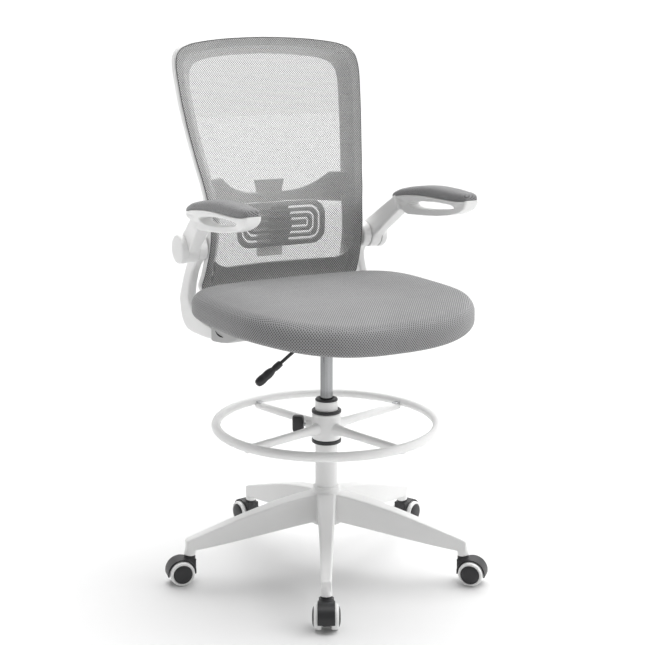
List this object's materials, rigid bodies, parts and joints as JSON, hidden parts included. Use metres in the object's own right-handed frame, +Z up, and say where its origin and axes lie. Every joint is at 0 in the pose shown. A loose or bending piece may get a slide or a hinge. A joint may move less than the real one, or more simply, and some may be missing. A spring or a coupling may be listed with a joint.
{
  "type": "drafting chair",
  "caption": "Tall swivel drafting chair: padded seat, curved mesh back, flip-up armrests, gas lift, turning foot ring and a five-leg base on casters.",
  "frame": {"origin": "middle of the footprint, on the floor", "axes": "+Z up, the sitter faces -Y, +X is the sitter's left"},
  "size_m": [0.7051, 0.698, 1.1755],
  "materials": {
    "white_plastic": "satin white moulded plastic with a fine texture",
    "white_steel": "white powder coat",
    "black_plastic": "black moulded plastic",
    "black_steel": "black coated steel",
    "steel": "plain zinc-plated steel",
    "chrome": "bright chrome",
    "seat_fabric": "grey air-mesh upholstery with a diagonal weave",
    "back_fabric": "grey see-through mesh",
    "seat_shell": "grey moulded shell",
    "rubber": "black rubber"
  },
  "bodies": {
    "base": {"base_star": "white_plastic", "column_tube": "white_steel", "guide_bush": "black_plastic", "thrust_bearing": "steel", "caster_stem_1": "steel", "caster_stem_2": "steel", "caster_stem_3": "steel", "caster_stem_4": "steel", "caster_stem_5": "steel"},
    "lift_rod": {"piston_rod": "steel", "retaining_clip": "steel"},
    "lift": {"gas_cylinder": "chrome", "tilt_housing": "black_steel", "torsion_bush": "rubber"},
    "valve": {"release_pin": "steel"},
    "lever": {"lever_rod": "black_steel", "lever_grip": "black_plastic"},
    "tension": {"tension_knob": "black_plastic"},
    "seat": {"seat_plate": "black_steel", "tilt_pin": "steel", "seat_pan": "seat_shell", "seat_cushion": "seat_fabric", "arm_bracket_left": "white_plastic", "arm_bracket_right": "white_plastic", "arm_pivot_cap_left": "white_plastic", "arm_pivot_cap_right": "white_plastic", "back_frame": "white_plastic", "back_mesh": "back_fabric"},
    "lumbar": {"lumbar_pad": "white_plastic", "lumbar_slider": "white_plastic"},
    "arm_left": {"armrest_left": "white_plastic", "arm_pad_left": "seat_fabric"},
    "arm_right": {"armrest_right": "white_plastic", "arm_pad_right": "seat_fabric"},
    "foot_slide": {"foot_bush_upper": "black_plastic", "foot_bush_lower": "black_plastic"},
    "foot": {"foot_hub": "white_plastic", "foot_ring": "white_steel"},
    "clamp": {"clamp_screw": "steel", "clamp_knob": "black_plastic"},
    "caster_1": {"caster_hood_1": "black_plastic", "caster_axle_1": "steel"},
    "wheel_left_1": {"caster_wheel_left_1": "black_plastic"},
    "wheel_right_1": {"caster_wheel_right_1": "black_plastic"},
    "caster_2": {"caster_hood_2": "black_plastic", "caster_axle_2": "steel"},
    "wheel_left_2": {"caster_wheel_left_2": "black_plastic"},
    "wheel_right_2": {"caster_wheel_right_2": "black_plastic"},
    "caster_3": {"caster_hood_3": "black_plastic", "caster_axle_3": "steel"},
    "wheel_left_3": {"caster_wheel_left_3": "black_plastic"},
    "wheel_right_3": {"caster_wheel_right_3": "black_plastic"},
    "caster_4": {"caster_hood_4": "black_plastic", "caster_axle_4": "steel"},
    "wheel_left_4": {"caster_wheel_left_4": "black_plastic"},
    "wheel_right_4": {"caster_wheel_right_4": "black_plastic"},
    "caster_5": {"caster_hood_5": "black_plastic", "caster_axle_5": "steel"},
    "wheel_left_5": {"caster_wheel_left_5": "black_plastic"},
    "wheel_right_5": {"caster_wheel_right_5": "black_plastic"}
  },
  "joints": [
    {"name": "seat_swivel", "type": "hinge", "parent": "base", "child": "lift_rod", "pos_m": [0.012, -0.021, 0.11], "axis": [0, 0, 1], "continuous": true},
    {"name": "height_slide", "type": "slide", "parent": "lift_rod", "child": "lift", "axis": [0, 0, 1], "range_m": [-0.09, 0.1]},
    {"name": "lever_lift", "type": "hinge", "parent": "lift", "child": "lever", "pos_m": [-0.029, -0.051, 0.538], "axis": [0, 1, 0], "range_deg": [0, 5], "stiffness_Nm_per_rad": 2, "springref_deg": -6.88},
    {"name": "valve_press", "type": "slide", "parent": "lift", "child": "valve", "axis": [0, 0, -1], "range_m": [0, 0.0036]},
    {"name": "tension_turn", "type": "hinge", "parent": "lift", "child": "tension", "pos_m": [0.012, -0.106, 0.532], "axis": [0, -1, 0], "range_deg": [-360, 360]},
    {"name": "seat_tilt", "type": "hinge", "parent": "lift", "child": "seat", "pos_m": [0.012, -0.066, 0.528], "axis": [-1, 0, 0], "range_deg": [0, 10], "stiffness_Nm_per_rad": 90, "springref_deg": -20.05},
    {"name": "lumbar_slide", "type": "slide", "parent": "seat", "child": "lumbar", "axis": [0, 0, 1], "range_m": [-0.02, 0.02]},
    {"name": "armrest_flip_left", "type": "hinge", "parent": "seat", "child": "arm_left", "pos_m": [-0.2225, 0.185, 0.717], "axis": [-1, 0, 0], "range_deg": [0, 90]},
    {"name": "armrest_flip_right", "type": "hinge", "parent": "seat", "child": "arm_right", "pos_m": [0.2465, 0.185, 0.717], "axis": [-1, 0, 0], "range_deg": [0, 90]},
    {"name": "foot_height", "type": "slide", "parent": "base", "child": "foot_slide", "axis": [0, 0, 1], "range_m": [-0.09, 0.015]},
    {"name": "foot_turn", "type": "hinge", "parent": "foot_slide", "child": "foot", "pos_m": [0.012, -0.021, 0.33], "axis": [0, 0, 1], "continuous": true},
    {"name": "clamp_turn", "type": "hinge", "parent": "foot", "child": "clamp", "pos_m": [-0.03193, 0.0121, 0.33], "axis": [-0.7986, 0.6018, 0], "range_deg": [0, 360]},
    {"name": "caster_swivel_1", "type": "hinge", "parent": "base", "child": "caster_1", "pos_m": [-0.14149, -0.2979, 0.06], "axis": [0, 0, 1], "continuous": true},
    {"name": "wheel_spin_left_1", "type": "hinge", "parent": "caster_1", "child": "wheel_left_1", "pos_m": [-0.15143, -0.31583, 0.027], "axis": [0.8746, -0.4848, 0], "continuous": true},
    {"name": "wheel_spin_right_1", "type": "hinge", "parent": "caster_1", "child": "wheel_right_1", "pos_m": [-0.15143, -0.31583, 0.027], "axis": [0.8746, -0.4848, 0], "continuous": true},
    {"name": "caster_swivel_2", "type": "hinge", "parent": "base", "child": "caster_2", "pos_m": [0.22792, -0.25255, 0.06], "axis": [0, 0, 1], "continuous": true},
    {"name": "wheel_spin_left_2", "type": "hinge", "parent": "caster_2", "child": "wheel_left_2", "pos_m": [0.2419, -0.26754, 0.027], "axis": [0.7314, 0.682, 0], "continuous": true},
    {"name": "wheel_spin_right_2", "type": "hinge", "parent": "caster_2", "child": "wheel_right_2", "pos_m": [0.2419, -0.26754, 0.027], "axis": [0.7314, 0.682, 0], "continuous": true},
    {"name": "caster_swivel_3", "type": "hinge", "parent": "base", "child": "caster_3", "pos_m": [0.29894, 0.1128, 0.06], "axis": [0, 0, 1], "continuous": true},
    {"name": "wheel_spin_left_3", "type": "hinge", "parent": "caster_3", "child": "wheel_left_3", "pos_m": [0.31752, 0.12147, 0.027], "axis": [-0.4226, 0.9063, 0], "continuous": true},
    {"name": "wheel_spin_right_3", "type": "hinge", "parent": "caster_3", "child": "wheel_right_3", "pos_m": [0.31752, 0.12147, 0.027], "axis": [-0.4226, 0.9063, 0], "continuous": true},
    {"name": "caster_swivel_4", "type": "hinge", "parent": "base", "child": "caster_4", "pos_m": [-0.02658, 0.29324, 0.06], "axis": [0, 0, 1], "continuous": true},
    {"name": "wheel_spin_left_4", "type": "hinge", "parent": "caster_4", "child": "wheel_left_4", "pos_m": [-0.02908, 0.31359, 0.027], "axis": [-0.9925, -0.1219, 0], "continuous": true},
    {"name": "wheel_spin_right_4", "type": "hinge", "parent": "caster_4", "child": "wheel_right_4", "pos_m": [-0.02908, 0.31359, 0.027], "axis": [-0.9925, -0.1219, 0], "continuous": true},
    {"name": "caster_swivel_5", "type": "hinge", "parent": "base", "child": "caster_5", "pos_m": [-0.29878, 0.03941, 0.06], "axis": [0, 0, 1], "continuous": true},
    {"name": "wheel_spin_left_5", "type": "hinge", "parent": "caster_5", "child": "wheel_left_5", "pos_m": [-0.31891, 0.04332, 0.027], "axis": [-0.1908, -0.9816, 0], "continuous": true},
    {"name": "wheel_spin_right_5", "type": "hinge", "parent": "caster_5", "child": "wheel_right_5", "pos_m": [-0.31891, 0.04332, 0.027], "axis": [-0.1908, -0.9816, 0], "continuous": true}
  ],
  "couplings": [
    {"joint": "valve_press", "follows": "lever_lift", "m_per_rad": 0.04}
  ]
}
